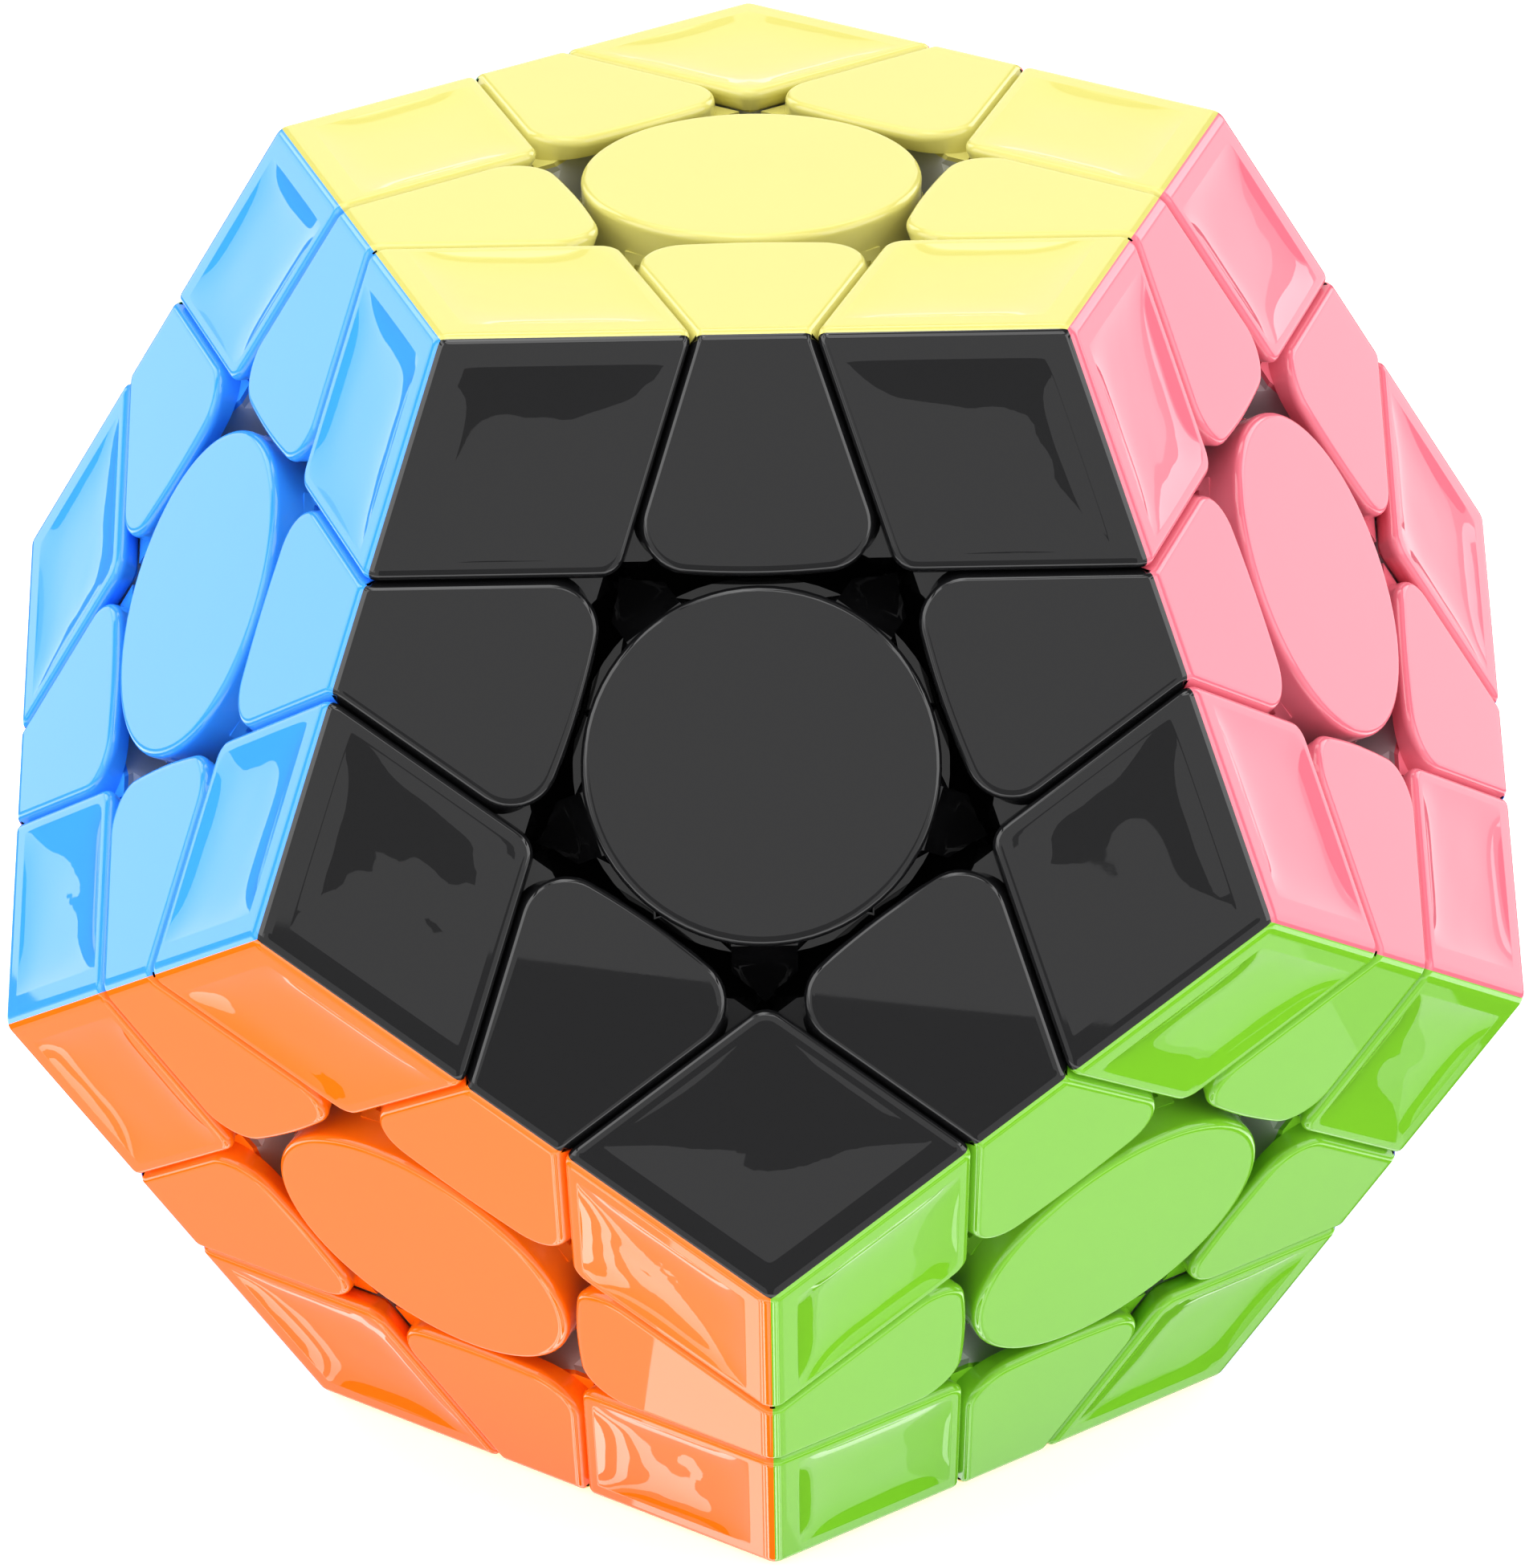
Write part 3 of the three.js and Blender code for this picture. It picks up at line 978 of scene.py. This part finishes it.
def add_many(kind, groups, shell, foot, finishes):
    """All edges or all corners: coloured tiles and a foot each."""
    first = wound(groups[0])
    for faces in groups:
        target = wound(faces)
        turn = carry([AXIS[face] for face in first[:2]], [AXIS[face] for face in target[:2]])
        label = "_".join(faces)
        body = body_of(faces)
        paints = [finishes[face] for face in target]
        placed(f"{kind}_tiles_{label}", shell, turn, paints, body, [node_of(faces)])
        # Under black tiles the foot's upper part is painted black: painted shade in the black
        # face's holes.
        upper = [SATIN["black"] if face == "black" else INNER for face in target]
        placed(f"{kind}_foot_{label}", foot, turn, [*paints, *upper, INNER], body)


def spring_mesh():
    """A coil of round wire between the shelf and the screw's head."""
    steps = SPRING_STEPS * SPRING_TURNS
    low = INRADIUS - SHELF + SPRING_WIRE
    high = SCREW_HEAD_BOTTOM - SPRING_WIRE
    rows = []
    for k in range(steps + 1):
        angle = 2 * math.pi * SPRING_TURNS * k / steps
        out = np.array([math.cos(angle), math.sin(angle), 0])
        middle = SPRING_RADIUS * out + np.array([0, 0, low + (high - low) * k / steps])
        ring = [
            middle + SPRING_WIRE * (math.cos(a) * out + math.sin(a) * np.array([0, 0, 1]))
            for a in np.linspace(0, 2 * math.pi, SPRING_SIDES + 1)
        ]
        ring[-1] = ring[0]
        rows.append(ring)
    build = Builder()
    build.sheet(rows)
    build.polygon(rows[0][:-1])
    build.polygon(rows[-1][:-1])
    return build.finish("spring")


def screw_mesh():
    shoulder = SCREW_HEAD_TOP - SCREW_DOME
    dome = [
        (SCREW_HEAD_RADIUS * math.cos(k), shoulder + SCREW_DOME * math.sin(k))
        for k in np.linspace(0, math.pi / 2, SCREW_DOME_STEPS + 1)
    ]
    dome[-1] = (0, SCREW_HEAD_TOP)
    profile = [
        (0, SCREW_FOOT),
        (SCREW_RADIUS, SCREW_FOOT),
        (SCREW_RADIUS, SCREW_HEAD_BOTTOM),
        (SCREW_HEAD_RADIUS, SCREW_HEAD_BOTTOM),
        *dome,
    ]
    return lathe("screw", profile, SMALL_SIDES)


def core_mesh():
    core = ball_mesh("core", BALL_RADIUS)
    profile = [(0, ARM_START), (ARM_RADIUS, ARM_START), (ARM_RADIUS, ARM_END), (0, ARM_END)]
    for face in FACES:
        arm = lathe("arm", profile, SMALL_SIDES, upright_of(face))
        core = cut_mesh(core, arm, "UNION")
    shade(core, SHARP)
    return core


def add_centres():
    pattern_face = "cream"
    pattern = centre_shell("centre", pattern_face)
    spring, screw = spring_mesh(), screw_mesh()
    first = [AXIS[pattern_face], AXIS[neighbours_of(pattern_face)[0]]]
    for face, axis in AXIS.items():
        body = body_of([face])
        turn = carry(first, [axis, AXIS[neighbours_of(face)[0]]])
        placed("cap_" + face, pattern, turn, [SATIN[face]], body, [node_of([face])])
        upright = upright_of(face)
        placed("screw_" + face, screw, upright, [STEEL], "core")
        placed("spring_" + face, spring, upright, [STEEL], body)


def add_pieces():
    edge_foot = foot_mesh("edge_foot", EDGES[0])
    corner_foot = foot_mesh("corner_foot", wound(CORNERS[0]))
    add_many("edge", EDGES, edge_shell("edge_tiles", EDGES[0]), edge_foot, SATIN)
    corner_tiles = corner_shell("corner_tiles", wound(CORNERS[0]))
    add_many("corner", CORNERS, corner_tiles, corner_foot, GLOSS)
    add_centres()
    core = placed("core_ball", core_mesh(), np.identity(3), [INNER], "core")
    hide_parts("core_with_centre_yellow")


# ---------------------------------------------------------------- surroundings

FLOOR_SIZE = 1.2
FLOOR_GLOW = 0.55
FLOOR_DROP = 0.0002  # below the surface that the puzzle stands on
CAMERA_AT = (0.0, -0.30347, 0.18566)
CAMERA_RIGHT = (0.99985, -0.00816, -0.01518)
CAMERA_UP = (0.01723, 0.45099, 0.89236)
LENS = 151.67
SENSOR = 36.0
KEY_AT = (-0.08, 0.05, 0.7)
KEY_SIZE = (0.3, 0.3)
KEY_POWER = 0.9
KEY_AIM = (0, 0, 0.03)


def add_floor():
    data = bpy.data.meshes.new("floor")
    half = FLOOR_SIZE / 2
    corners = [(-half, -half, 0), (half, -half, 0), (half, half, 0), (-half, half, 0)]
    data.from_pydata(corners, [], [(0, 1, 2, 3)])
    data.materials.append(floor_material())
    floor = bpy.data.objects.new("floor", data)
    floor.location.z = -FLOOR_DROP
    floor.visible_glossy = False
    bpy.context.scene.collection.objects.link(floor)


def add_camera():
    data = bpy.data.cameras.new("camera")
    data.lens = LENS
    data.sensor_width = SENSOR
    data.sensor_fit = "HORIZONTAL"
    data.clip_start = 0.01
    data.clip_end = 20
    camera = bpy.data.objects.new("camera", data)
    right, up = Vector(CAMERA_RIGHT).normalized(), Vector(CAMERA_UP)
    back = right.cross(up).normalized()
    up = back.cross(right)
    matrix = Matrix((right, up, back)).transposed().to_4x4()
    camera.matrix_world = Matrix.Translation(CAMERA_AT) @ matrix
    bpy.context.scene.collection.objects.link(camera)
    bpy.context.scene.camera = camera


def add_softbox():
    data = bpy.data.lights.new("key", "AREA")
    data.shape = "RECTANGLE"
    data.size, data.size_y = KEY_SIZE
    data.energy = KEY_POWER
    light = bpy.data.objects.new("key", data)
    light.location = KEY_AT
    aim = Vector(KEY_AIM) - Vector(KEY_AT)
    light.rotation_euler = aim.to_track_quat("-Z", "Y").to_euler()
    bpy.context.scene.collection.objects.link(light)


# The room, as strengths of light by direction: 1 all round, then patches laid over one another.
# A patch is its hand as the viewer sees the puzzle, (from, to) in azimuth from the viewer's side
# towards that hand, (from, to) in height, and its light; angles are in degrees. Heights lean a
# little to one side, as the reflections do.
ROOM_LEAN = 0.12
PATCHES = (
    ("both", -1, 181, 60, 90, 0.3),  # ceiling round the softbox
    ("both", -1, 15, -90, 24.5, 0.4),  # dark opening on the viewer's side
    ("left", 36, 44, 5, 22, 2.0),  # small lamp beside it
    ("both", 60, 181, -14, 4, 1.6),  # low walls at the sides and the back, with dark stripes
    ("both", 60, 181, -22, -14, 0.1),
    ("both", 151, 166, -14, 12, 0.1),
    ("both", 100, 117, -14, 12, 0.1),
    ("both", 46, 100, 8, 54, 3.2),  # tall lamps
    ("both", 104, 120, 4, 38, 0.05),  # black screens with lamps between them
    ("both", 122, 144, 8, 38, 3.0),
    ("both", 148, 160, 4, 38, 0.05),
    ("both", 60, 181, 38, 44, 0.1),  # dark beams above them
    ("both", -1, 60, 62, 80, 3.0),  # lamp high on the viewer's side
    ("both", 150, 181, 46, 56, 3.0),  # lamps high at the back
    # Below the table, seen only by reflection: lamps and dark boards in turn.
    ("both", -1, 60, -44, -26, 2.5),
    ("both", 60, 181, -90, -22, 0.6),
    ("right", 60, 181, -55.5, -49, 0.9),
    ("both", 60, 181, -36, -25, 2.4),
    ("both", 60, 181, -48, -36, 0.03),
    ("both", 90, 106, -62, -47, 0.03),
    ("both", 152, 164, -62, -47, 1.6),
    ("both", -1, 181, -67, -65, 2.0),
    ("both", -1, 181, -72, -69, 2.6),
    ("both", -1, 181, -80, -76, 3.5),
    ("both", -1, 181, -90, -80, 0.03),
)


def choose(tree, condition, yes, no):
    """yes where condition is 1, no where it is 0."""
    change = math_node(tree, "SUBTRACT", yes, no)
    return math_node(tree, "ADD", math_node(tree, "MULTIPLY", condition, change), no)


def between(tree, value, low, high):
    above = math_node(tree, "GREATER_THAN", value, low)
    return math_node(tree, "MULTIPLY", above, math_node(tree, "LESS_THAN", value, high))


def add_room():
    world = bpy.data.worlds.new("room")
    world.use_nodes = True
    tree = world.node_tree
    background = tree.nodes["Background"]
    place = tree.nodes.new("ShaderNodeTexCoord")
    part = tree.nodes.new("ShaderNodeSeparateXYZ")
    tree.links.new(place.outputs["Generated"], part.inputs[0])
    x, y, z = part.outputs

    forward = math_node(tree, "MULTIPLY", y, -1.0)
    azimuth = math_node(tree, "DEGREES", math_node(tree, "ARCTAN2", x, forward))
    leaning = math_node(tree, "ADD", z, math_node(tree, "MULTIPLY", x, ROOM_LEAN))
    height = math_node(tree, "DEGREES", math_node(tree, "ARCSINE", leaning))
    angles = {
        "right": azimuth,
        "left": math_node(tree, "MULTIPLY", azimuth, -1.0),
        "both": math_node(tree, "ABSOLUTE", azimuth),
    }
    light = 1.0
    for hand, start, end, low, high, strength in PATCHES:
        across = between(tree, angles[hand], start, end)
        upward = between(tree, height, low, high)
        inside = math_node(tree, "MULTIPLY", across, upward)
        light = choose(tree, inside, strength, light)
    ray = tree.nodes.new("ShaderNodeLightPath").outputs["Is Camera Ray"]
    tree.links.new(choose(tree, ray, 1.0, light), background.inputs["Strength"])
    background.inputs["Color"].default_value = (1, 1, 1, 1)
    bpy.context.scene.world = world


add_camera()
add_floor()
add_room()
add_softbox()
add_pieces()

bpy.context.scene.view_settings.view_transform = "Standard"
